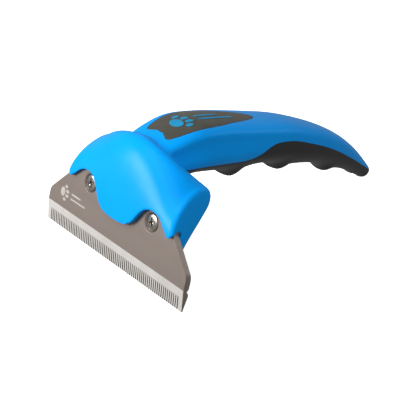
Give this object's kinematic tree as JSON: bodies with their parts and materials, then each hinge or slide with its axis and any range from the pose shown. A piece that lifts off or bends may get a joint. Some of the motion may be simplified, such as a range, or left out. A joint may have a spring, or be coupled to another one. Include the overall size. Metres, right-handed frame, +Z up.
{
  "type": "deshedding tool",
  "caption": "Handheld pet grooming tool: a wide fine-toothed steel blade screwed to a broad head, with an arched two-part handle and a soft finger-grooved grip.",
  "frame": {"origin": "middle of the tool's footprint, on the surface it lies on: teeth and tail touch the surface", "axes": "+X along the blade, +Y from the blade back towards the handle's tail, +Z up"},
  "size_m": [0.088, 0.1384, 0.0512],
  "materials": {
    "blue_abs": "bright blue moulded ABS with a satin surface",
    "grip_rubber": "near-black soft-touch elastomer, matte",
    "inlay_rubber": "dark grey-brown soft elastomer, matte",
    "blade_steel": "fine-ground stainless steel, bright ground band above the teeth",
    "screw_steel": "plated screw steel"
  },
  "bodies": {
    "root": {"upper_shell": "blue_abs", "lower_shell": "blue_abs", "finger_grip": "grip_rubber", "thumb_inlay": "inlay_rubber", "deshedding_blade": "blade_steel", "blade_screw_left": "screw_steel", "blade_screw_right": "screw_steel", "blade_nut_left": "screw_steel", "blade_nut_right": "screw_steel", "shell_screw_front": "screw_steel", "shell_screw_middle": "screw_steel", "shell_screw_rear": "screw_steel"}
  },
  "joints": []
}
